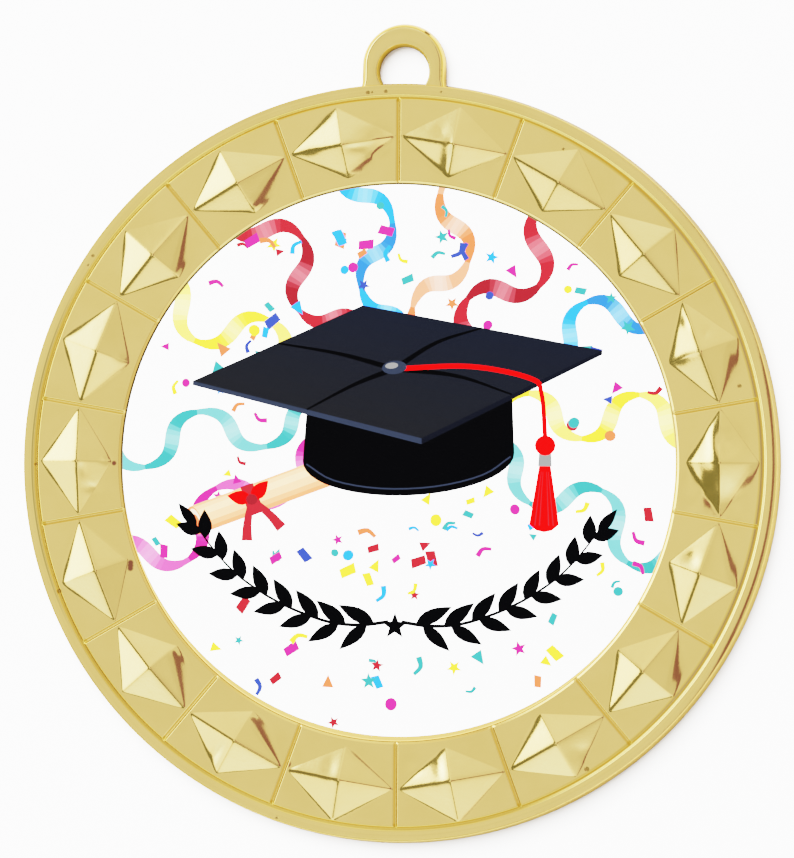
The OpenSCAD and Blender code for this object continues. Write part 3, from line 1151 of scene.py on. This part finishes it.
def paint_groove_and_lip_shade(tree, place, gold):
    """Gold painted deeper in the grooves of the face, in their corners and on the lip, as painted
    shade, and where the grooves are.
    """
    x, y, z = tree.add("SeparateXYZ", {0: place}).outputs
    radius = tree.vector("LENGTH", tree.add("CombineXYZ", {0: x, 1: y}))
    clockwise = tree.math("ADD", tree.math("ARCTAN2", x, y), CELL_TURN)
    in_cell = tree.math("FRACT", tree.math("DIVIDE", clockwise, CELL_ANGLE))
    from_groove = tree.math("SUBTRACT", 0.5, tree.apart(in_cell, 0.5))
    off_cell = tree.times(tree.times(from_groove, CELL_ANGLE), radius)
    beyond = tree.math("SUBTRACT", radius, RING_GROOVE_R * MM)
    off_cell = tree.math("ADD", off_cell, tree.math("MAXIMUM", beyond, 0))
    front = tree.math("GREATER_THAN", z, (FLOOR_Z - 0.5) * MM)
    in_cells = tree.times(tree.within(off_cell, 0.15, 0.26), front)
    # Painted shade: deeper gold in the radial grooves, darker on the walls that face the brightest
    # light
    facing = tree.add("TexCoord").outputs["Normal"]
    bright_side = tree.steps(tree.vector("DOT_PRODUCT", facing, BRIGHT_SIDE), 0.25, 0.5)
    groove_shading = tree.mix(bright_side, GROOVE_PAINTED_SHADE, WALL_PAINTED_SHADE)
    gold = tree.mix(in_cells, gold, groove_shading)
    # Painted shade in the ring groove, deepest at its bottom, duller and further in on the right-hand
    # side
    shift = tree.steps(x, 5 * MM, 27 * MM, 0, RIGHT_SHADE_SHIFT * MM)
    off_ring = tree.apart(beyond, shift)
    in_middle = tree.within(tree.math("ABSOLUTE", beyond), 0.15, 0.26)
    in_ring = tree.times(tree.math("MAXIMUM", in_middle, tree.within(off_ring, 0.2, 0.3)), front)
    ring_shade_bottom = tree.mix(tree.steps(x, 20 * MM, 28 * MM), RING_PAINTED_SHADE, RIGHT_RING_PAINTED_SHADE)
    ring_shading = tree.mix(tree.steps(off_ring, 0.06 * MM, 0.2 * MM), ring_shade_bottom, RING_EDGE_PAINTED_SHADE)
    gold = tree.mix(in_ring, gold, ring_shading)
    # A painted shade line on the left-hand side, where the rim's band rises from the ring groove
    off_line = tree.apart(beyond, SHADE_LINE_AT * MM)
    shade_line = tree.times(tree.within(off_line, 0.03, 0.12), front)
    shade_line = tree.times(shade_line, tree.within(x, -33, -29))
    gold = tree.mix(shade_line, gold, PAINTED_SHADE_LINE)
    # Painted shade in the corners where the radial grooves end
    off_corner = tree.apart(beyond, -CORNER_AT * MM)
    gold = tree.mix(tree.times(in_cells, tree.within(off_corner, 0.1, 0.3)), gold, CORNER_PAINTED_SHADE)
    # Painted shade on the lip, which tones down its reflection of the white disc
    lip_end = RECESS_R + LIP_WIDTH
    in_lip = tree.times(tree.within(radius, lip_end - LIP_BLUR, lip_end + LIP_BLUR), front)
    gold = tree.mix(in_lip, gold, LIP_PAINTED_SHADE)
    return gold, tree.math("MAXIMUM", in_cells, in_ring)


def pale_gold(tree, place):
    """Pale gold plating: slow waves and a fine grain in the casting, cloudy polish, a few pits, and
    painted shade in the grooves and on the lip.
    """
    cloudy = tree.noise(place, 260, 3)
    waves = tree.noise(place, 800, 2)
    grain = tree.noise(place, 4800, 4, 0.6)
    pit = add_spots(tree, place, PITS)
    gold = tree.mix(tree.steps(cloudy, 0.3, 0.7), DARK_GOLD, LIGHT_GOLD)
    gold, in_groove = paint_groove_and_lip_shade(tree, place, gold)
    colour = tree.mix(tree.times(pit, 0.8), gold, PIT_BROWN)
    for spots, brown in ((STAINS, STAIN_BROWN), (FLAWS, FLAW_BROWN)):
        colour = tree.mix(add_spots(tree, place, spots), colour, brown)
    polish = tree.steps(cloudy, 0.25, 0.75, 0.09, 0.14)
    roughness = tree.math("ADD", polish, tree.times(pit, 0.25))
    roughness = tree.math("ADD", roughness, tree.times(in_groove, GROOVE_DULL))
    slow = tree.bump(waves, 0.5, 0.01)
    deep = tree.bump(tree.math("SUBTRACT", 0, pit), 0.6, 0.04, slow)
    bump = tree.bump(grain, 0.3, 0.01, deep)
    return tree.add("BsdfPrincipled", {
        "Base Color": colour,
        "Roughness": roughness,
        "Metallic": 1,
        "Normal": bump,
    })


# Painted reflections of the floor, which only the medal's sides see: a painted shadow close to the
# medal, painted light there on its lower right-hand side where the soft light's shadow falls, the floor
# further away, and painted shade in the loop's hole
NEAR_FLOOR_PAINTED_SHADOW = (0.19, 0.155, 0.09)
SHADOW_SIDE_PAINTED_LIGHT = (0.48, 0.38, 0.17)
FAR_FLOOR_PAINTED_REFLECTION = (0.4, 0.33, 0.21)
HOLE_PAINTED_SHADE = (0.156, 0.125, 0.05)
SHADED_SIDE = (0.643, -0.766, 0)
# What the floor is to the eye
FLOOR_WHITE = (0.93, 0.93, 0.93)
FLOOR_SIZE = 4
FLOOR_DROP = 0.00002


def pale_floor(tree, place):
    """A plain pale floor to the eye; its reflections in the medal's sides are painted, with a painted
    shadow close to the medal.
    """
    flat = tree.add("VectorMath", {0: place, 1: (1, 1, 0)}, operation="MULTIPLY")
    radius = tree.vector("LENGTH", flat)
    in_hole = tree.within(tree.vector("DISTANCE", flat, (0, HOLE_Y * MM, 0)), 3, 5)
    shaded = tree.vector("DOT_PRODUCT", place, SHADED_SIDE)
    near = tree.mix(tree.steps(shaded, 5 * MM, 33 * MM), NEAR_FLOOR_PAINTED_SHADOW, SHADOW_SIDE_PAINTED_LIGHT)
    seen = tree.mix(tree.steps(radius, 35.5 * MM, 37.5 * MM), near, FAR_FLOOR_PAINTED_REFLECTION)
    seen = tree.mix(in_hole, seen, HOLE_PAINTED_SHADE)
    # Only reflections see the painted shadow and light; the eye sees the plain white floor
    mirrored = tree.add("LightPath").outputs["Is Glossy Ray"]
    return tree.add("BsdfDiffuse", {0: tree.mix(mirrored, FLOOR_WHITE, seen)})


def printed_film(tree, place):
    """Printed film: the inks with a faint mottle, under a thin satin coat with a fine grain."""
    ink = tree.add("Attribute", attribute_name="ink").outputs["Color"]
    mottle = tree.noise(place, 700, 3)
    grain = tree.noise(place, 9000, 2)
    mottled = tree.steps(mottle, 0.3, 0.7, 0.97, 1)
    colour = tree.scaled(ink, tree.times(mottled, tree.steps(grain, 0.3, 0.7, 0.97, 1)))
    return tree.add("BsdfPrincipled", {
        "Base Color": colour,
        "Roughness": tree.steps(mottle, 0.3, 0.7, 0.3, 0.38),
        "Specular IOR Level": 0.08,
        "Normal": tree.bump(grain, 0.15, 0.01),
    })


def finished(item, node, material):
    item.data.materials.clear()
    item.data.materials.append(material)
    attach(item, "root")
    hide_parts(node)


# Edges sharper than this are creases, and how much even shading favours large faces
CASTING_SHARP = radians(38)
INSERT_SHARP = radians(30)
SHADING_WEIGHT = 60

casting = joined(casting_mesh(), loop_mesh())
casting.name = "medal_cast"
casting.data.set_sharp_from_angle(angle=CASTING_SHARP)
weighted = casting.modifiers.new("even_shading", "WEIGHTED_NORMAL")
weighted.keep_sharp = True
weighted.weight = SHADING_WEIGHT
finished(casting, "medal_body", new_material("pale_gold", pale_gold))

insert = insert_mesh()
insert.data.set_sharp_from_angle(angle=INSERT_SHARP)
finished(insert, "insert_disc", new_material("print", printed_film))

bpy.ops.mesh.primitive_plane_add(size=FLOOR_SIZE, location=(0, 0, -FLOOR_DROP))
floor = bpy.context.object
floor.name = "floor"
floor.data.materials.append(new_material("pale_floor", pale_floor))

build_sky()
add_soft_light()
place_camera()
bpy.context.scene.view_settings.view_transform = "Filmic"
bpy.context.scene.view_settings.look = "High Contrast"
